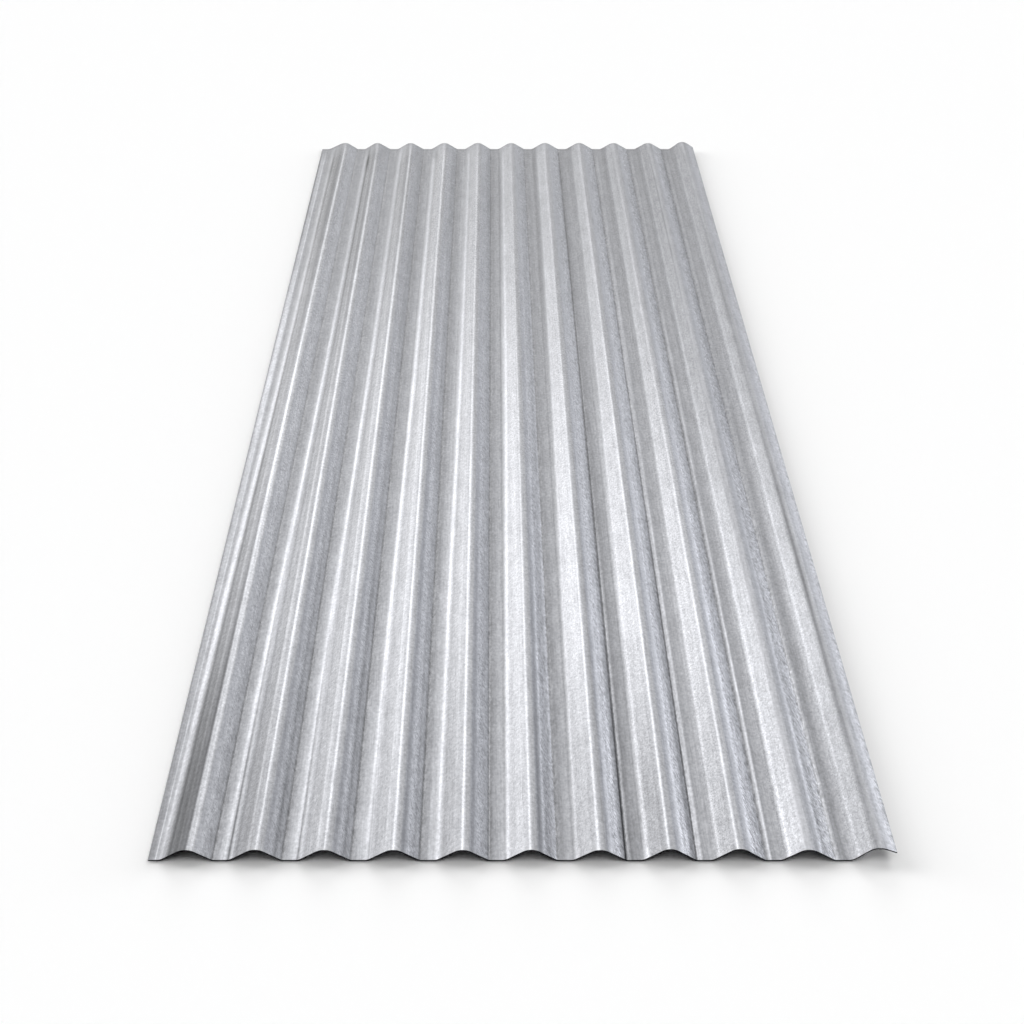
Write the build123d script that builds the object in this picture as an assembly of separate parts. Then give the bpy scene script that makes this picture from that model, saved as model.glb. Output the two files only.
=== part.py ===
from build123d import *
from math import asin, atan2, cos, degrees, hypot, radians, sin, tan
import os

# Corrugated steel sheet of the 3 inch wave, lying on its pans as it would on a level floor.
# It is one flat sheet that corrugating rolls have bent cold, so it is one solid of even thickness.
# X runs across the waves, Y runs along them and Z is up. The origin is under the sheet's middle.
# Lengths are in millimetres and angles in degrees.

# The sheet as it is sold
sheet_length = 2440.0
sheet_thickness = 1.0
covered_waves = 10              # whole waves from the first crest to the last

# One wave: a round crest, two straight flanks and a flat pan, with a bend between pan and flank
wave_pitch = 76.2
wave_depth = 14.0               # from a surface of the pan up to the same surface of the crest
crest_inside_radius = 18.3      # on the underside, which is the inside of this bend
pan_inside_radius = 12.0        # on the upper side, which is the inside of this bend
pan_flat_width = 11.7

# Underlap edge: the sheet stops flat, a little past the middle of its first pan
underlap_past_pan = 4.7

# Overlap edge: the last crest stands a little higher, so that it seats over the next sheet
overlap_crest_rise = 2.5
overlap_past_crest = 18.0
overlap_edge_angle = 22.0

# Radii of the underside line. The bend of the pan has its outside there.
crest_radius = crest_inside_radius
bend_radius = pan_inside_radius + sheet_thickness


def flank_angle(depth):
    """Slope of the straight flank that is tangent to the bend of a pan and to a crest of this depth."""
    across = wave_pitch / 2 - pan_flat_width / 2
    up = depth - crest_radius - bend_radius
    return atan2(up, across) + asin((crest_radius + bend_radius) / hypot(up, across))


def bend_corner_reach(angle):
    """Distance from the middle of a pan to the corner where its flat would meet the flank."""
    return pan_flat_width / 2 + bend_radius * tan(angle / 2)


def crest_corner(middle, depth, rising, falling):
    """Corner where the flanks on both sides of a crest would meet, above its round top."""
    lean = (falling - rising) / 2
    reach = crest_radius / cos((falling + rising) / 2)
    return (middle + reach * sin(lean), depth - crest_radius + reach * cos(lean))


def underside_line():
    """Corners of the underside from the underlap edge to the overlap edge, each with its radius.

    X is counted from the first crest here.
    """
    first_pan = -wave_pitch / 2
    corners = [(first_pan - underlap_past_pan, 0)]
    radii = []
    for wave in range(covered_waves + 1):
        is_overlap = wave == covered_waves
        crest = wave * wave_pitch
        depth = wave_depth + (overlap_crest_rise if is_overlap else 0)
        rising = flank_angle(depth)
        falling = radians(overlap_edge_angle) if is_overlap else rising
        corners.append((crest - wave_pitch / 2 + bend_corner_reach(rising), 0))
        corners.append(crest_corner(crest, depth, rising, falling))
        radii += [bend_radius, crest_radius]
        if not is_overlap:
            corners.append((crest + wave_pitch / 2 - bend_corner_reach(falling), 0))
            radii.append(bend_radius)

    # The overlap edge runs straight down its flank from the crest to the free edge
    top_x, top_z = corners[-1]
    edge_x = covered_waves * wave_pitch + overlap_past_crest
    corners.append((edge_x, top_z - (edge_x - top_x) * tan(radians(overlap_edge_angle))))
    return corners, radii


def corrugated_sheet():
    """The waved section, drawn along its underside, thickened upwards and run the sheet's length."""
    corners, radii = underside_line()
    with BuildPart() as sheet:
        with BuildSketch(Plane.XZ):
            with BuildLine():
                FilletPolyline(*corners, radius=radii)
                offset(amount=sheet_thickness, side=Side.LEFT)
            make_face()
        extrude(amount=sheet_length / 2, both=True)
    middle = sheet.part.bounding_box().center().X
    return sheet.part.moved(Location((-middle, 0, 0)))


os.makedirs("parts", exist_ok=True)
sheet = corrugated_sheet()
box = sheet.bounding_box()
export_step(sheet, "parts/corrugated_sheet.step")
print(f"sheet {box.size.X:.1f} x {box.size.Y:.1f} x {box.size.Z:.1f} mm, lowest point {box.min.Z:.3f}")
print(f"flank angle {degrees(flank_angle(wave_depth)):.2f} degrees, volume {sheet.volume / 1e6:.4f} litres")
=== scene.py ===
from math import asin, atan2, cos, hypot, pi, radians, sin, tan

import bpy
import numpy as np
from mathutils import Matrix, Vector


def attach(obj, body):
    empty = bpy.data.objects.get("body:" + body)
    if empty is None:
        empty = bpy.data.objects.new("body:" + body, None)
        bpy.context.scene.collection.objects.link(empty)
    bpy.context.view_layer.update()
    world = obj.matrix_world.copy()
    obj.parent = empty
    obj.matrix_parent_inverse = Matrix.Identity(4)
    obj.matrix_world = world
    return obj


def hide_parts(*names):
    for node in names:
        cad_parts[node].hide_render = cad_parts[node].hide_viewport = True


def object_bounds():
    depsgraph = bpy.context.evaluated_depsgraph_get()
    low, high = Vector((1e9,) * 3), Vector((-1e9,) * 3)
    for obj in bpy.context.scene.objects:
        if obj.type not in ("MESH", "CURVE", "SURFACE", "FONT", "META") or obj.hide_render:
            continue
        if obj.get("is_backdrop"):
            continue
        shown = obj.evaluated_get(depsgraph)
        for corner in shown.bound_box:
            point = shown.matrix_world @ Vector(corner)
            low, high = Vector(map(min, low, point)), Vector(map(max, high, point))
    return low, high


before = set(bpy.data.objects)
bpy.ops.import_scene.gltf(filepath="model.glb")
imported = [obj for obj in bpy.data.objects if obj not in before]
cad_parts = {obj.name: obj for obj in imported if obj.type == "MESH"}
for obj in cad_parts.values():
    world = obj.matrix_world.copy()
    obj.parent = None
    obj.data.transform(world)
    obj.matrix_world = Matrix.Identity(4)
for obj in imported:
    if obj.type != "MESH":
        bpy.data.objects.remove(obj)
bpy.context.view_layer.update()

# The one piece: a flat sheet of galvanised steel, bent cold between corrugating rolls into
# parallel waves. Rolling leaves it a little uneven: waves drift sideways, stand higher or lower,
# and the shear has dented the first waves at the far end. Lengths here are in millimetres.

MM = 0.001
SHEET_LENGTH = 2440.0
THICKNESS = 1.0
PITCH = 76.2
DEPTH = 14.0
CREST_RADIUS = 18.3            # on the underside
BEND_RADIUS = 13.0             # on the underside
CRISP_RADIUS = 8.0             # of the bend at the foot of each right-hand flank, a crisper one
PAN_FLAT = 11.7
LAST_WAVE = 10                 # counted from the first crest, which is wave 0
UNDERLAP = 3.7                 # from the middle of the first pan to the left edge
OVERLAP_RISE = 2.5
OVERLAP_REACH = 18.0
OVERLAP_SLOPE = radians(22.0)
FIRST_CREST = -368.79          # in X, so that the sheet's outline is centred
# Mesh steps in the bends and straights of one wave, and the points on the flat of a pan as shares
# of its width from its middle. The first pan has some closer together, to carry a thin line.
LEFT_BEND_STEPS = 7
LEFT_FLANK_STEPS = 12
CREST_STEPS = 16
RIGHT_FLANK_STEPS = 14
RIGHT_BEND_STEPS = 6
OVERLAP_STEPS = 6
PAN_POINTS = (-0.3, -0.1, 0.1, 0.3)
FIRST_PAN_POINTS = (0, 0.3, 0.39, 0.46)


def flank_slope(depth):
    """Slope of the straight flank between the bend of a pan and a crest of this depth."""
    across = PITCH / 2 - PAN_FLAT / 2
    up = depth - CREST_RADIUS - BEND_RADIUS
    return atan2(up, across) + asin((CREST_RADIUS + BEND_RADIUS) / hypot(up, across))


def arc(middle_x, middle_z, radius, start, end, steps, hollow=False):
    """Points of one bend, each with the tilt of the sheet there: 0 is level, + falls to the right."""
    tilts = np.linspace(start, end, steps + 1)
    turn = -1 if hollow else 1
    return [(middle_x + turn * radius * sin(t), middle_z + turn * radius * cos(t), t) for t in tilts]


def straight(before, after, tilt, steps):
    """Points between two bends, without the ends."""
    shares = np.linspace(0, 1, steps + 1)[1:-1]
    return [(before[0] + s * (after[0] - before[0]), before[1] + s * (after[1] - before[1]), tilt)
            for s in shares]


def underside_points():
    """The rolled section from the left edge to the right one: x, z and tilt of the underside."""
    pan = -PITCH / 2
    points = [(pan - UNDERLAP, 0.0, 0.0)]
    points += [(pan + share * PAN_FLAT, 0.0, 0.0) for share in FIRST_PAN_POINTS]
    for wave in range(LAST_WAVE + 1):
        last = wave == LAST_WAVE
        crest = wave * PITCH
        pan = crest - PITCH / 2
        depth = DEPTH + (OVERLAP_RISE if last else 0)
        rise = flank_slope(depth)
        fall = OVERLAP_SLOPE if last else rise
        left_bend = arc(pan + PAN_FLAT / 2, BEND_RADIUS, BEND_RADIUS, 0, -rise, LEFT_BEND_STEPS,
                        hollow=True)
        top = arc(crest, depth - CREST_RADIUS, CREST_RADIUS, -rise, fall, CREST_STEPS)
        points += left_bend + straight(left_bend[-1], top[0], -rise, LEFT_FLANK_STEPS) + top
        if last:
            end_x = crest + OVERLAP_REACH
            end_z = top[-1][1] - (end_x - top[-1][0]) * tan(fall)
            points += straight(top[-1], (end_x, end_z), fall, OVERLAP_STEPS)
            points.append((end_x, end_z, fall))
        else:
            next_pan = crest + PITCH / 2
            foot = next_pan - PAN_FLAT / 2 - (BEND_RADIUS - CRISP_RADIUS) * tan(fall / 2)
            right_bend = arc(foot, CRISP_RADIUS, CRISP_RADIUS, fall, 0, RIGHT_BEND_STEPS,
                             hollow=True)
            points += straight(top[-1], right_bend[0], fall, RIGHT_FLANK_STEPS) + right_bend
            points += [(next_pan + share * PAN_FLAT, 0.0, 0.0) for share in PAN_POINTS]
    return np.array(points)


# How far each crest stands from its even place, which rolling leaves uneven: sideways at the near
# end and at the far one, and up at the near end. The overlap's free edge springs back less towards
# the far end, where it reaches further out and down.
NEAR_DRIFT = [0.0, 0.4, 0.1, -0.2, -0.1, -1.0, -1.6, -0.6, -0.6, -0.9, 0.3]
FAR_DRIFT = [10.0, 5.5, 3.4, 2.6, 1.0, -1.0, -2.0, -1.5, -1.0, -0.5, 0.0]
CREST_LIFT = [0.0, 0.1, -0.2, 0.1, 0.0, 0.2, -0.1, 1.2, 1.2, 0.1, 0.2]
EDGE_OUT = 5.5
EDGE_DOWN = 6.5
EDGE_CURL = 1.5                # it drops as this power of the distance past the last crest
# Slow ripples in the crests: height, length along the waves, length across them, where it starts
RIPPLES = [(0.12, 163, 41, 0.0), (0.08, 71, -87, 1.3)]
BURR = 0.4                     # the shear turns the lip of each cut down by this much
END_STRIP = 2.0                # rows of the mesh stand this close to each cut
DENTED_LENGTH = 200.0          # and closer together in this stretch of the far end
ROW_GAP = 20.0                 # between the last row before that stretch and its first
LONG_ROWS = 38
CLOSE_ROWS = 16
# Dents at the far end, one of them pushed up from below: wave, distance from its crest, distance
# from the end, half the width, half the length, depth
DENTS = [(1, -17, 105, 5.0, 50, 2.6), (1, 13, 70, 7.0, 60, 1.6), (2, -19, 55, 4.5, 50, -1.6),
         (0, -15, 140, 6.0, 60, 1.0), (2, 14, 75, 6.0, 60, 1.6), (3, -19, 60, 6.0, 50, 1.4)]


def far_share(along):
    """How far along the sheet: 0 at the near end, 1 at the far one."""
    return along / SHEET_LENGTH + 0.5


def soft_line(distance, half_width):
    """1 in the middle of a soft-edged line, and next to nothing at twice its half width."""
    return np.exp(-(distance / half_width) ** 2)


def dent_depth(across, along):
    """Depth of the dents at the far end."""
    depth = 0.0
    for wave, offset, from_end, half_width, half_length, dent in DENTS:
        beside = soft_line(across - wave * PITCH - offset, half_width)
        depth = depth + dent * beside * soft_line(SHEET_LENGTH / 2 - along - from_end, half_length)
    return depth


def corrugated_mesh():
    """Upper and lower faces of the sheet with its rims, row by row along the length."""
    section = underside_points()
    x0, z0, tilt = section.T
    wave_at = np.arange(LAST_WAVE + 1) * PITCH
    beyond = np.clip(x0 / PITCH - LAST_WAVE, 0, None) * PITCH / OVERLAP_REACH
    half = SHEET_LENGTH / 2
    dented_from = half - DENTED_LENGTH
    rows = np.concatenate([[-half], np.linspace(END_STRIP - half, dented_from - ROW_GAP, LONG_ROWS),
                           np.linspace(dented_from, half - END_STRIP, CLOSE_ROWS), [half]])
    upper, lower = [], []
    for y in rows:
        far = far_share(y)
        drift = np.interp(x0, wave_at, NEAR_DRIFT) * (1 - far)
        drift += np.interp(x0, wave_at, FAR_DRIFT) * far
        drift *= np.clip((x0 - x0[0]) / (PITCH / 2), 0, 1)    # the left edge stays straight
        lift = np.interp(x0, wave_at, CREST_LIFT) * (1 - far) ** 2 - dent_depth(x0, y)
        for height, along_it, across_it, start in RIPPLES:
            lift += height * np.sin(y / along_it + x0 / across_it + start)
        x = x0 + drift + (1 + (EDGE_OUT - 1) * far) * beyond
        z = z0 + lift * np.clip(z0 / DEPTH, 0, 1) - EDGE_DOWN * far * beyond ** EDGE_CURL
        upper.append(np.column_stack([x + np.sin(tilt) * THICKNESS, np.full_like(x, y),
                                      z + np.cos(tilt) * THICKNESS]))
        lip = BURR if abs(y) == half else 0.0
        lower.append(np.column_stack([x, np.full_like(x, y), np.maximum(z, 0.0) - lip]))
    wide, long = len(section), len(rows)
    points = np.concatenate(upper + lower)
    points[:, 0] += FIRST_CREST
    under = wide * long
    faces = []
    for r in range(long - 1):
        for c in range(wide - 1):
            a, b = r * wide + c, r * wide + c + 1
            faces.append((a, b, b + wide, a + wide))
            faces.append((under + a, under + a + wide, under + b + wide, under + b))

    # The rim goes round the sheet and has points of its own, so that its corners stay sharp
    near_cut = np.arange(wide)
    far_cut = near_cut[::-1] + (long - 1) * wide
    left_edge = np.arange(long - 1, -1, -1) * wide
    right_edge = np.arange(long) * wide + wide - 1
    rims, rim_points = [], []
    for side in (near_cut, right_edge, far_cut, left_edge):
        first = len(points) + sum(len(p) for p in rim_points)
        rim_points += [points[side], points[side + under]]
        for k in range(len(side) - 1):
            rims.append((first + k, first + len(side) + k, first + len(side) + k + 1, first + k + 1))
    return np.concatenate([points] + rim_points) * MM, faces, rims, np.tile(x0, 2 * long), \
        np.repeat(np.tile(rows, 2), wide)


# Light and dark lines side by side across each wave: partly lines that the rolls rubbed into the zinc,
# partly painted highlights and painted shade. In order: distance from the crest, half the width, how
# much lighter (+) or darker (-) at the near end, halfway and at the far end (the shares of the length
# just below), and the first and last wave with it.
RUBBED_AND_PAINTED_LINES = [
    (-41.8, 1.5, -0.15, -0.2, -0.3, 0, 0), (-37.0, 4.0, -0.2, 0.75, 0.25, 0, 0),
    (-37.0, 3.5, -0.12, 0.0, 0.0, 10, 10), (-36.0, 2.2, 0.2, 0.0, 0.0, 1, 4),
    (-33.5, 0.6, 0.5, 0.1, 0.45, 0, 0), (-31.0, 2.5, -0.15, 0.12, 0.0, 1, 2),
    (-29.8, 1.1, -0.4, 0.0, 0.0, 1, 2), (-29.5, 3.0, 0.25, 0.12, 0.1, 4, 4),
    (-27.3, 1.0, -0.25, 0.0, 0.0, 3, 3), (-26.0, 3.0, 0.0, -0.14, -0.15, 5, 6),
    (-25.8, 1.4, 0.22, 0.0, 0.0, 1, 3), (-24.5, 2.0, -0.4, -0.05, 0.0, 9, 9),
    (-24.0, 3.0, 0.35, 0.1, 0.0, 7, 7), (-23.0, 2.5, 0.15, 0.0, 0.0, 0, 4),
    (-16.5, 2.2, 0.0, -0.25, -0.25, 0, 0), (-16.2, 2.0, 0.0, 0.06, -0.25, 1, 1),
    (-10.0, 7.0, -0.2, -0.05, -0.05, 0, 0), (-6.0, 4.5, -0.24, -0.2, -0.12, 0, 0),
    (-4.5, 1.8, 0.12, 0.15, 0.1, 3, 8), (-4.0, 4.0, -0.14, -0.2, -0.12, 1, 1),
    (-3.2, 3.2, -0.68, -0.48, -0.2, 10, 10), (-3.0, 8.0, 0.0, 0.0, -0.2, 0, 2),
    (-3.0, 5.0, -0.05, -0.13, -0.14, 8, 8), (-2.8, 1.8, -0.2, -0.3, -0.3, 9, 9),
    (0.0, 3.4, -0.75, -0.05, -0.1, 0, 0), (0.3, 1.6, -0.15, -0.2, -0.15, 5, 7),
    (0.5, 3.0, -0.15, 0.0, -0.1, 1, 2), (1.5, 1.8, 0.0, 0.05, 0.25, 3, 3),
    (2.2, 1.8, -0.05, 0.28, 0.45, 2, 2), (2.5, 2.0, 0.17, 0.2, 0.05, 8, 10),
    (2.8, 1.8, 0.0, 0.3, 0.45, 1, 1), (3.1, 1.8, 0.0, 0.52, 0.42, 0, 0),
    (5.5, 2.5, -0.25, 0.0, 0.0, 6, 6), (6.0, 1.8, 0.75, 0.3, 0.0, 0, 0),
    (7.0, 3.0, 0.0, 0.08, 0.0, 1, 3), (8.6, 2.0, -0.12, -0.05, -0.02, 5, 9),
    (9.5, 2.5, -0.2, 0.0, 0.0, 3, 5), (10.5, 3.0, -0.22, -0.06, 0.0, 1, 5),
    (12.5, 2.5, 0.5, 0.05, 0.0, 6, 6), (13.0, 5.0, 0.7, 0.15, 0.0, 10, 10),
    (13.8, 2.8, 0.6, 0.15, 0.1, 7, 9), (13.8, 2.8, 0.1, 0.0, 0.0, 8, 8),
    (14.3, 1.3, 0.45, 0.2, 0.0, 5, 5), (15.0, 2.2, 0.15, 0.05, 0.0, 0, 4),
    (16.0, 2.0, -0.28, -0.1, 0.0, 9, 9), (16.5, 2.0, 0.2, 0.08, 0.0, 6, 6),
    (17.5, 4.0, 0.0, 0.1, 0.0, 0, 10), (18.0, 3.0, -0.2, 0.0, 0.0, 5, 5),
    (19.5, 2.5, 0.3, 0.1, 0.0, 3, 3), (20.0, 2.4, 0.45, 0.2, 0.1, 6, 7),
    (20.5, 2.2, -0.3, -0.08, -0.05, 1, 3), (22.0, 7.0, -0.08, 0.15, 0.08, 1, 1),
    (22.5, 6.5, 0.0, 0.2, 0.15, 0, 0), (23.0, 6.0, 0.3, 0.12, 0.05, 8, 9),
    (23.5, 4.0, 0.2, 0.0, 0.0, 9, 9), (24.0, 7.0, -0.15, -0.17, -0.15, 10, 10),
    (25.5, 3.0, -0.1, 0.25, 0.05, 6, 7), (26.0, 9.0, 0.0, 0.0, -0.1, 2, 4),
    (26.5, 4.0, 0.5, 0.0, -0.1, 9, 9), (26.6, 2.2, 0.5, 0.35, 0.0, 5, 5),
    (27.4, 1.1, -0.6, -0.2, -0.2, 6, 6), (27.6, 1.0, -0.3, -0.05, 0.0, 0, 4),
    (28.8, 1.1, -0.35, -0.1, 0.0, 7, 7), (29.2, 0.9, 0.3, 0.0, 0.0, 4, 4),
    (29.5, 3.5, 0.25, 0.0, 0.0, 9, 9), (30.0, 1.3, 0.0, -0.35, -0.25, 6, 6),
    (30.0, 1.4, 0.0, -0.08, 0.0, 8, 8), (31.2, 1.1, 0.55, 0.25, 0.0, 6, 7),
    (31.7, 1.3, -0.25, 0.0, 0.0, 4, 4), (32.2, 1.3, 1.0, 0.35, 0.1, 9, 9),
    (34.0, 1.1, 1.0, 0.25, 0.0, 7, 7), (34.0, 1.2, 1.1, 0.2, 0.0, 8, 8),
    (35.5, 2.5, 0.0, 0.25, 0.2, 7, 9), (36.0, 2.2, 0.22, 0.03, 0.0, 0, 2)]
RUBBED_AND_PAINTED_LINES_AT = [0.03, 0.48, 0.85]
WAVER = 0.2                    # each line grows stronger and weaker by this share along the sheet
WAVER_LENGTH = 170.0
# Painted highlight: a bright line on the shoulder of each left-hand flank, at the near end
# and at the far one, and the half width of the painted shade line on the crest's side of it
NEAR_SHOULDER_HIGHLIGHT = [-26.0, -34, -32.6, -30.4, -27.5, -25, -24.8, -23.7, -21.6, -20, -20.5]
FAR_SHOULDER_HIGHLIGHT = [-18.3, -23.4, -22.2, -21.5, -19.5, -18.5, -18, -17.5, -17, -17.5, -17.5]
SHADE_LINE_HALF_WIDTH = 1.9
# Painted highlight and shade: how much lighter or darker each left-hand flank is painted, at the near
# end, a fifth of the way along, halfway and near the far end
FLANK_PAINTED_LIGHT_AT = [0.05, 0.2, 0.5, 0.85]
FLANK_PAINTED_LIGHT = [[0.7, 0.85, 1.0, 0.97, 0.82, 1.02, 0.87, 0.73, 0.9, 1.25, 1.02],
               [1.0, 1.08, 1.08, 1.15, 1.0, 1.17, 1.25, 1.22, 1.2, 1.32, 1.2],
               [0.95, 0.99, 1.04, 1.13, 1.12, 1.23, 1.26, 1.14, 1.1, 0.95, 0.98],
               [0.9, 0.92, 0.96, 1.03, 1.03, 1.06, 1.08, 1.04, 1.0, 0.9, 0.93]]
# The zinc's tone across a wave at the near end and at the far end. It is painted light: lighter and
# darker bands where the bends and flanks catch more or less light, and all of it darker at the far end
TONE_AT = [-38, -33, -29, -26, -14, -4, 4, 8, 12, 20, 27, 29, 33, 38]
NEAR_TONE = [0.72, 0.82, 0.8, 0.97, 0.98, 1.0, 1.1, 1.14, 1.08, 1.0, 0.9, 0.6, 0.55, 0.7]
FAR_TONE = [0.54, 0.6, 0.62, 0.66, 0.76, 0.8, 0.9, 1.06, 1.06, 1.0, 0.92, 0.6, 0.52, 0.55]
DARKER_PAN = 6.4                 # the pan after wave 6, and less so those beside it, is darker near the front
DARKER_PAN_SHADE = 0.18
FOOT_SHADE = 0.1               # the foot of the left-hand flanks is darker from wave 4 on
LOWER_FLANK_PAINTED_SHADE = 0.32         # and painted shade on the lower flank of waves 6 to 8, up to the shoulder's line
DENT_SHADE = 0.12              # painted shade per millimetre of a dent's depth, and painted light on the one pushed up
END_FADE = 90.0                # over the last of the far end the crests turn matt and the lines and painted highlights fade
LEAST_KEPT = 0.15              # of the lines and painted highlights, at the far cut itself
RIM = 8.0                      # the far cut's rim is darker over this length
UNDERSIDE_PAINTED_SHADE = 0.6                # painted shade: the underside's tone is this share of the upper face's


def place_in_wave(across):
    """Number of the wave, and the distance from its crest."""
    wave = np.clip(np.floor(across / PITCH + 0.5), 0, LAST_WAVE)
    return wave, across - wave * PITCH


def zinc_tone_and_painted_light(across, along):
    """Tone of the zinc at each point against its average: the rolls' lines with painted highlights and
    painted shade, and their slow fading.
    """
    wave, offset = place_in_wave(across)
    waves = range(LAST_WAVE + 1)
    far = far_share(along)
    from_end = SHEET_LENGTH / 2 - along
    kept = np.clip(from_end / END_FADE, LEAST_KEPT, 1)

    # Painted light: lighter and darker bands across each wave, darker towards the far end
    tone = np.interp(offset, TONE_AT, NEAR_TONE) * (1 - far)
    tone += np.interp(offset, TONE_AT, FAR_TONE) * far
    # Painted highlight and shade on each left-hand flank
    step = np.interp(far, FLANK_PAINTED_LIGHT_AT, range(len(FLANK_PAINTED_LIGHT)))
    for number, flank_tones in enumerate(FLANK_PAINTED_LIGHT):
        change = (np.interp(wave, waves, flank_tones) - 1) * np.clip(1 - np.abs(step - number), 0, 1)
        tone += change * np.interp(offset, [-28, -25, -5, -2], [0, 1, 1, 0])
    # A darker pan around wave 6 near the front, and painted shade at the foot of the left-hand flanks
    pan = wave + np.sign(offset) / 2
    in_pan = np.abs(offset) > 28
    tone -= DARKER_PAN_SHADE * (1 - far) ** 3 * soft_line(pan - DARKER_PAN, 0.8) * in_pan
    tone -= FOOT_SHADE * np.interp(wave, [3, 6], [0, 1]) * soft_line(offset + 29, 3.5)

    # The rolls' lines, with painted highlights and painted shade among them
    for middle, half_width, near_change, mid_change, far_change, first, last in RUBBED_AND_PAINTED_LINES:
        change = np.interp(far, RUBBED_AND_PAINTED_LINES_AT, [near_change, mid_change, far_change])
        shown = (wave >= first) & (wave <= last)
        waver = 1 + WAVER * np.sin(along / WAVER_LENGTH + middle + wave * 2.1)
        tone += shown * waver * kept * change * soft_line(offset - middle, half_width)

    # The shoulder's painted highlight, a bright line that moves towards the crest along the sheet
    moved = np.interp(far, [0, 0.22, 0.5, 0.75], [0, 0.25, 0.85, 1])
    near_line = np.interp(wave, waves, NEAR_SHOULDER_HIGHLIGHT)
    line = near_line + (np.interp(wave, waves, FAR_SHOULDER_HIGHLIGHT) - near_line) * moved
    half_width = np.interp(wave, [0, 1, 4, 6], [3.2, 2.8, 2.5, 1.8])
    half_width += np.interp(wave, [3, 6], [0.8, 0]) * far
    at_near_end = np.interp(wave, [0, 1, 3, 6], [0.36, 0.28, 0.5, 1.0]) * np.interp(far, [0, 0.2], [1, 0])
    strength = np.interp(wave, [0, 3, 6], [1.0, 1.0, 0.4])
    strength *= np.interp(far, [0, 0.2, 0.5, 0.8], [0, 1, 0.8, 0.4]) + at_near_end
    tone += strength * kept * soft_line(offset - line, half_width)

    # Painted shade: a dark line beside it on the first waves, and a darker strip below it on the later
    # ones
    shade_line = np.interp(wave, [0, 1], [-17.5, -21.5]) * (1 - moved) - 16 * moved
    strength = np.interp(wave, [0, 1, 2, 4, 5], [0.3, 0.24, 0.17, 0.1, 0])
    tone -= strength * kept * soft_line(offset - shade_line, SHADE_LINE_HALF_WIDTH)
    # Painted shade: a darker strip on the lower flank of the later waves
    lower_flank_shade = np.clip((line + 2 - offset) / 3, 0, 1) * np.interp(offset, [-28, -24], [0, 1])
    lower_flank_shade *= np.interp(wave, [5, 6, 8, 9], [0, 1, 1, 0.4])
    lower_flank_shade *= np.interp(far, [0, 0.2, 0.5, 0.9], [0.3, 1, 1, 0.6])
    # Painted shade in the dents, and painted light on the one pushed up
    tone -= LOWER_FLANK_PAINTED_SHADE * lower_flank_shade + DENT_SHADE * dent_depth(across, along)
    return tone * np.interp(from_end, [0, RIM], [0.8, 1])


def polish(across, along):
    """1 on the crests, which rolls and other sheets rub bright, and 0 in the pans, left matt."""
    wave, offset = place_in_wave(across)
    kept = np.clip((SHEET_LENGTH / 2 - along) / END_FADE, 0, 1) * np.interp(wave, [8, 9], [1, 0.3])
    kept *= 1 - far_share(along) * np.interp(wave, [3, 8], [0.4, 0.9])
    return np.interp(np.abs(offset), [0, 8, 20, 28, 33], [1.0, 1.0, 0.6, 0.3, 0.0]) * kept


def left_flank(across, along):
    """1 on the flanks that face left, most of all on the later waves, where the zinc is crumpled."""
    wave, offset = place_in_wave(across)
    on_flank = np.interp(offset, [-28, -26.5, -6, -4], [0, 1, 1, 0])
    return on_flank * np.interp(wave, [3, 5, 8], [0.25, 0.45, 1])


def right_foot(across, along):
    """1 on the bend at the foot of the flanks that face right, where it has been bent hardest."""
    wave, offset = place_in_wave(across)
    return np.interp(offset, [26, 28, 33, 35], [0, 1, 1, 0.1]) * np.interp(wave, [0, 8], [0.6, 1])


def right_flank(across, along):
    """1 on the flanks that face right, most of all on the later waves."""
    wave, offset = place_in_wave(across)
    return np.interp(offset, [12, 15, 29, 31], [0, 1, 1, 0]) * np.interp(wave, [2, 8], [0.5, 1])


points, faces, rims, across, along = corrugated_mesh()
mesh = bpy.data.meshes.new("galvanised_sheet")
mesh.from_pydata(points.tolist(), [], faces + rims)
mesh.validate()
mesh.polygons.foreach_set("use_smooth", [True] * len(faces) + [False] * len(rims))
mesh.polygons.foreach_set("material_index", [0] * len(faces) + [1] * len(rims))
sheet = bpy.data.objects.new("galvanised_sheet", mesh)
bpy.context.scene.collection.objects.link(sheet)
for finish in (zinc_tone_and_painted_light, polish, left_flank, right_flank, right_foot):
    layer = mesh.attributes.new(finish.__name__, "FLOAT", "POINT")
    values = np.ones(len(mesh.vertices), dtype=np.float32)
    values[:len(across)] = finish(across, along)
    # Painted shade: the underside is darker
    if finish is zinc_tone_and_painted_light:
        values[len(across) // 2:len(across)] *= UNDERSIDE_PAINTED_SHADE
    layer.data.foreach_set("value", values)


def add(tree, kind, inputs=None, **settings):
    """Adds a node to a material: its settings, its fixed inputs, and the sockets linked to it."""
    node = tree.nodes.new(kind)
    for name, value in settings.items():
        setattr(node, name, value)
    for name, value in (inputs or {}).items():
        if isinstance(value, bpy.types.NodeSocket):
            tree.links.new(value, node.inputs[name])
        else:
            node.inputs[name].default_value = value
    return node


def linear(hex_colour):
    """An sRGB hex colour as the linear colour that Blender's sockets take."""
    parts = [int(hex_colour[i:i + 2], 16) / 255 for i in (1, 3, 5)]
    return tuple(p / 12.92 if p <= 0.04045 else ((p + 0.055) / 1.055) ** 2.4 for p in parts) + (1.0,)


def new_material(name):
    """An empty node material with its Principled shader."""
    material = bpy.data.materials.new(name)
    material.use_nodes = True
    return material, material.node_tree, material.node_tree.nodes["Principled BSDF"]


# Hot-dip galvanised steel: zinc frozen into small crystals, the spangle, each catching the light
# a little differently. The rolls rub fine lines into it along the waves. Where it is bent most it
# crumples into specks on the left-hand flanks, and tears into hair streaks on the right-hand ones.
SPANGLE = 3.5                  # width of a crystal, drawn about as coarse as the render can show
MATT_ROUGHNESS = 0.42          # in the pans
RUBBED_ROUGHNESS = 0.15        # on the crests
MOTTLING = 0.12                # the spread of roughness between mottles
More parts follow.
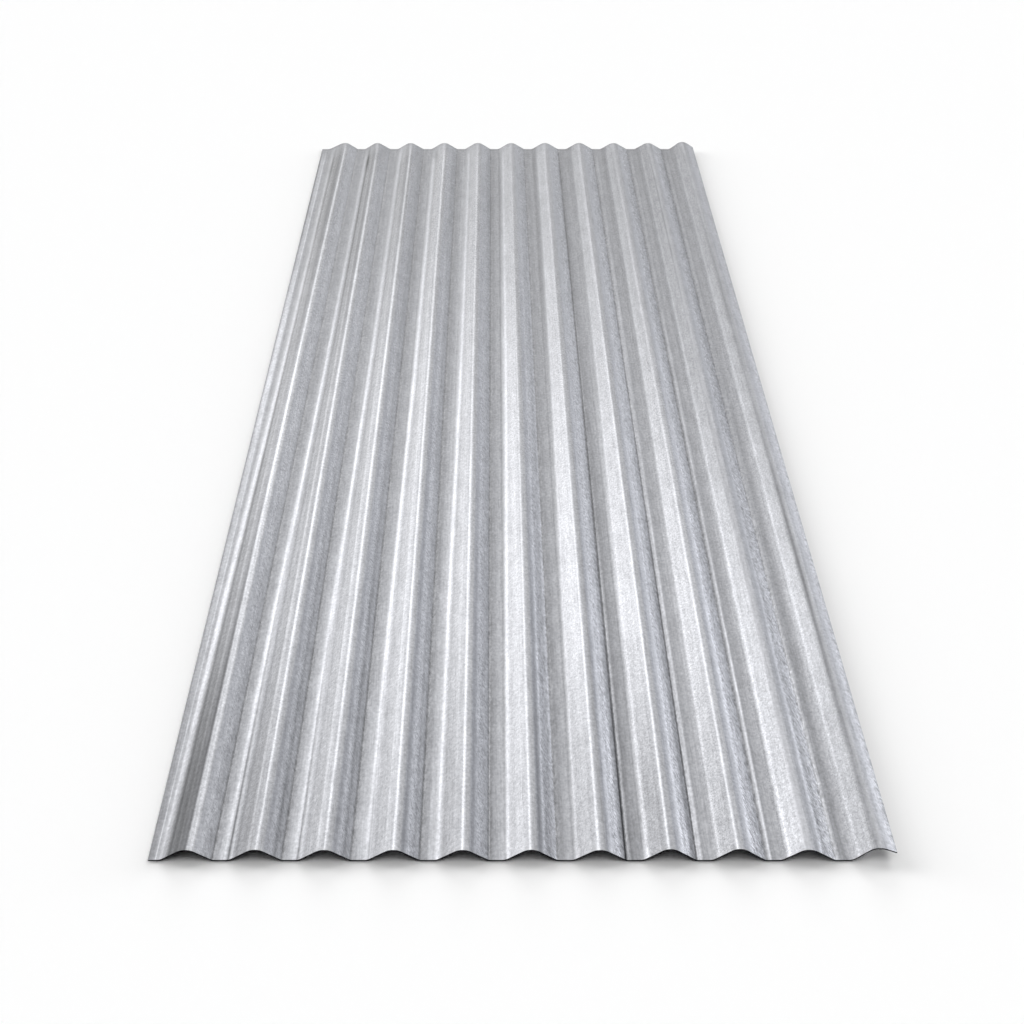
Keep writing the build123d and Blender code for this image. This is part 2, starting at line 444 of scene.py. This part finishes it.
# Each pattern's width across the waves, its length along them and its lean in degrees. One
# millimetre is the least that the render can show, so the finest are drawn wider than they are.
PATTERNS = {"roll lines": (5.0, 1200.0, 0), "scratches": (1.4, 55.0, -1), "patches": (14.0, 60.0, 0),
            "mottles": (22.0, 44.0, 0), "grain": (3.0, 5.0, 0), "specks": (1.6, 2.6, 20),
            "hair streaks": (1.1, 13.0, -26), "blotches": (2.6, 26.0, -22), "flecks": (2.2, 9.0, 12)}
# How a pattern changes the tone: the range of the noise that it takes, its darkest and lightest
# factor, and the attribute that says where it shows, or None for the whole sheet
TONES = (("roll lines", 0.3, 0.7, 0.95, 1.05, None), ("specks", 0.32, 0.62, 0.74, 1.17, "left_flank"),
         ("patches", 0.3, 0.7, 0.92, 1.08, None), ("scratches", 0.34, 0.5, 0.87, 1.02, None),
         ("grain", 0.3, 0.7, 0.84, 1.16, None), ("flecks", 0.34, 0.62, 0.74, 1.2, "right_foot"),
         ("hair streaks", 0.34, 0.6, 0.62, 1.28, "right_flank"),
         ("blotches", 0.34, 0.56, 0.72, 1.12, "right_flank"))
# Relief of the zinc: strength, and height in millimetres
RELIEF = (("roll lines", 0.35, 0.05), ("grain", 0.12, 0.2), ("hair streaks", 0.15, 0.3))

zinc, tree, shader = new_material("hot_dip_galvanised_steel")
place = add(tree, "ShaderNodeTexCoord").outputs["Object"]
crystals = add(tree, "ShaderNodeTexVoronoi", {"Vector": place, "Scale": 1 / (SPANGLE * MM)})
drawn = {}
for name, (width, length, lean) in PATTERNS.items():
    turned = add(tree, "ShaderNodeMapping", {"Vector": place, "Rotation": (0, 0, radians(lean))})
    sized = add(tree, "ShaderNodeMapping", {"Vector": turned.outputs["Vector"], "Scale": (
        1 / (width * MM), 1 / (length * MM), 1 / (width * MM))})
    drawn[name] = add(tree, "ShaderNodeTexNoise", {"Vector": sized.outputs["Vector"], "Scale": 1.0,
                                                   "Detail": 4.0, "Roughness": 0.6}).outputs["Fac"]

marks = {}
for name in ("zinc_tone_and_painted_light", "polish", "left_flank", "right_flank", "right_foot"):
    marks[name] = add(tree, "ShaderNodeAttribute", attribute_name=name).outputs["Fac"]
# The tone attribute holds the rolls' lines and also painted highlights and painted shade
tone = marks["zinc_tone_and_painted_light"]
for name, low, high, darkest, lightest, where in TONES:
    ranged = add(tree, "ShaderNodeMapRange", {"Value": drawn[name], "From Min": low, "From Max": high,
                                               "To Min": darkest, "To Max": lightest})
    change = ranged.outputs["Result"]
    if where:
        mixed = add(tree, "ShaderNodeMix", {"Factor": marks[where], "A": 1.0, "B": change})
        change = mixed.outputs["Result"]
    tone = add(tree, "ShaderNodeMath", {0: tone, 1: change}, operation="MULTIPLY").outputs[0]
spangle = add(tree, "ShaderNodeMix", {"Factor": crystals.outputs["Color"], "A": linear("#a7a8ac"),
                                       "B": linear("#b5b6ba")}, data_type="RGBA")
colour = add(tree, "ShaderNodeVectorMath", {0: spangle.outputs["Result"], "Scale": tone},
             operation="SCALE")
tree.links.new(colour.outputs["Vector"], shader.inputs["Base Color"])

bump = None
for name, strength, height in RELIEF:
    inputs = {"Height": drawn[name], "Strength": strength, "Distance": height * MM}
    if bump:
        inputs["Normal"] = bump.outputs["Normal"]
    bump = add(tree, "ShaderNodeBump", inputs)
tree.links.new(bump.outputs["Normal"], shader.inputs["Normal"])
mottled = add(tree, "ShaderNodeMath", {0: drawn["mottles"], 1: MOTTLING, 2: -MOTTLING / 2},
              operation="MULTIPLY_ADD")
rough = add(tree, "ShaderNodeMapRange", {"Value": marks["polish"], "To Min": MATT_ROUGHNESS,
                                          "To Max": RUBBED_ROUGHNESS})
both = add(tree, "ShaderNodeMath", {0: rough.outputs["Result"], 1: mottled.outputs[0]}, operation="ADD")
tree.links.new(both.outputs[0], shader.inputs["Roughness"])
shader.inputs["Metallic"].default_value = 1.0
mesh.materials.append(zinc)

# Sheared edge: bare steel under the zinc, torn by the shear and dull, with slightly lighter places
# where the tear is coarser. It is near black, partly the steel's own dark and partly painted shade
# along the cut.
TEAR = 2.0                     # width of a torn place
edge, tree, shader = new_material("sheared_edge_and_painted_shade")
place = add(tree, "ShaderNodeTexCoord").outputs["Object"]
torn = add(tree, "ShaderNodeTexNoise", {"Vector": place, "Scale": 1 / (TEAR * MM), "Detail": 3.0})
tone = add(tree, "ShaderNodeMix", {"Factor": torn.outputs["Fac"], "A": linear("#08090a"),
                                    "B": linear("#1c1d1f")}, data_type="RGBA")
tree.links.new(tone.outputs["Result"], shader.inputs["Base Color"])
shader.inputs["Metallic"].default_value = 1.0
shader.inputs["Roughness"].default_value = 0.5
mesh.materials.append(edge)

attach(sheet, "root")
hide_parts("corrugated_sheet")

# A white studio floor that runs out of sight. It is painted matt, so that it takes the sheet's
# soft shadow. The sheet is springy and bears on a few high spots only, so it stands a little clear.

FLOOR_REACH = 30.0             # metres
CLEARANCE = 1.5                # millimetres
floor_mesh = bpy.data.meshes.new("studio_floor")
corners = [(-FLOOR_REACH, -FLOOR_REACH, 0), (FLOOR_REACH, -FLOOR_REACH, 0),
           (FLOOR_REACH, FLOOR_REACH, 0), (-FLOOR_REACH, FLOOR_REACH, 0)]
floor_mesh.from_pydata(corners, [], [(0, 1, 2, 3)])
floor = bpy.data.objects.new("studio_floor", floor_mesh)
floor.location.z = -CLEARANCE * MM
bpy.context.scene.collection.objects.link(floor)
paint, tree, shader = new_material("matt_white_paint")
shader.inputs["Base Color"].default_value = linear("#fbfbfb")
shader.inputs["Roughness"].default_value = 1.0
shader.inputs["Specular IOR Level"].default_value = 0.0
floor_mesh.materials.append(paint)
floor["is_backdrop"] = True

# A pale studio. Its left side and ceiling are the lighter ones, with a strip lamp that runs along
# the ceiling; the right side is greyer. The lean of a direction is seen from behind the camera,
# 0 is straight up and - is to the left, and the light is the same all along the waves.

WALLS = 0.68
ROOM = [(-90, 0.8), (-76, 0.8), (-67, 1.6), (-60, 2.25), (-50, 1.75), (-30, 1.65), (-20, 1.6),
        (-13, 1.75), (-11, 2.2), (-10, 2.85), (-1, 2.85), (3, 2.1), (7, 1.6), (12, 1.3), (20, 1.1),
        (40, 0.95), (52, 0.85), (60, 0.82), (68, 1.05), (78, 1.15), (90, 1.0)]
BLUE_FROM = 42                 # from this lean on, the right-hand wall is a cold grey
COLD_GREY = (0.98, 1.0, 1.05)
# Directions along the waves by their share of that axis, and how much of the room's light they
# give: the rest is the walls' even level
AHEAD = [(0.0, 0.65), (0.74, 0.65), (0.84, 1.0), (0.9, 0.9), (0.94, 0.3), (1.0, 0.22)]

world = bpy.data.worlds.new("pale_studio")
world.use_nodes = True
bpy.context.scene.world = world
tree = world.node_tree
tree.nodes.clear()
ray = add(tree, "ShaderNodeLightPath")
way = add(tree, "ShaderNodeTexCoord").outputs["Generated"]
sides = add(tree, "ShaderNodeSeparateXYZ", {"Vector": way})
lean = add(tree, "ShaderNodeMath", {0: sides.outputs["X"], 1: sides.outputs["Z"]}, operation="ARCTAN2")
turn = add(tree, "ShaderNodeMapRange", {"Value": lean.outputs[0], "From Min": -pi / 2,
                                         "From Max": pi / 2})
forward = add(tree, "ShaderNodeMath", {0: sides.outputs["Y"]}, operation="ABSOLUTE")
room = add(tree, "ShaderNodeValToRGB", {"Fac": turn.outputs["Result"]})
ahead = add(tree, "ShaderNodeValToRGB", {"Fac": forward.outputs[0]})
FULL_RAMP = 4.0                # a ramp stops at 1, so its light is divided by this and scaled back
leans = [((degrees + 90) / 180, light / FULL_RAMP) for degrees, light in ROOM]
for ramp, stops in ((room.color_ramp, leans), (ahead.color_ramp, AHEAD)):
    while len(ramp.elements) < len(stops):
        ramp.elements.new(0.5)
    for element, (at, value) in zip(ramp.elements, stops):
        is_cold = ramp == room.color_ramp and at * 180 - 90 > BLUE_FROM
        tint = COLD_GREY if is_cold else (1.0, 1.0, 1.0)
        element.position = at
        element.color = (value * tint[0], value * tint[1], value * tint[2], 1.0)
lit = add(tree, "ShaderNodeVectorMath", {0: room.outputs["Color"], "Scale": FULL_RAMP},
          operation="SCALE")
shown = add(tree, "ShaderNodeMix", {"Factor": ahead.outputs["Color"], "A": (WALLS, WALLS, WALLS, 1.0),
                                     "B": lit.outputs["Vector"]}, data_type="RGBA")
white = add(tree, "ShaderNodeMix", {"Factor": ray.outputs["Is Camera Ray"],
                                     "A": shown.outputs["Result"], "B": (1.0, 1.0, 1.0, 1.0)},
            data_type="RGBA")
level = add(tree, "ShaderNodeMath", {0: ray.outputs["Is Camera Ray"], 1: ray.outputs["Is Glossy Ray"]},
            operation="MAXIMUM")
walls = add(tree, "ShaderNodeBackground", {"Color": white.outputs["Result"],
                                            "Strength": level.outputs[0]})
add(tree, "ShaderNodeOutputWorld", {"Surface": walls.outputs["Background"]})

# The floor's own light, which the zinc doesn't mirror: soft lamps in a half ring behind the sheet
# and some high ones in front. Each has its azimuth (0 is straight behind, - is to the left), its
# elevation, its spread, all in degrees, and its share of the floor's full light.
FLOOR_LIGHT = 1.03
FLOOR_LAMPS = [(-70, 12, 24, 0.13), (-50, 26, 24, 0.12), (0, 15, 24, 0.09), (30, 36, 24, 0.165),
               (70, 12, 24, 0.13), (-120, 65, 40, 0.07), (120, 65, 40, 0.235), (180, 52, 24, 0.06)]
for number, (azimuth, elevation, softness, share) in enumerate(FLOOR_LAMPS, 1):
    lamp = bpy.data.lights.new(f"floor_lamp_{number}", "SUN")
    lamp.angle = radians(softness)
    lamp.energy = FLOOR_LIGHT * share * pi / sin(radians(elevation))
    holder = bpy.data.objects.new(lamp.name, lamp)
    holder.rotation_euler = (radians(elevation - 90), 0, radians(-azimuth))
    holder.visible_glossy = False
    bpy.context.scene.collection.objects.link(holder)

# The camera stands in front of the near end, level from side to side, and looks down along the
# waves. Its lens and shift put both ends of the sheet where the picture has them.

camera = bpy.data.cameras.new("camera")
camera.sensor_width = 36.0
camera.lens = 65.85
camera.shift_x = 0.0199
camera_object = bpy.data.objects.new("camera", camera)
camera_object.location = (-0.0323, -2.8294, 1.343)
camera_object.rotation_euler = (radians(60.7), 0, 0)
bpy.context.scene.collection.objects.link(camera_object)
bpy.context.scene.camera = camera_object
bpy.context.scene.view_settings.view_transform = "Standard"

low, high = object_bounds()
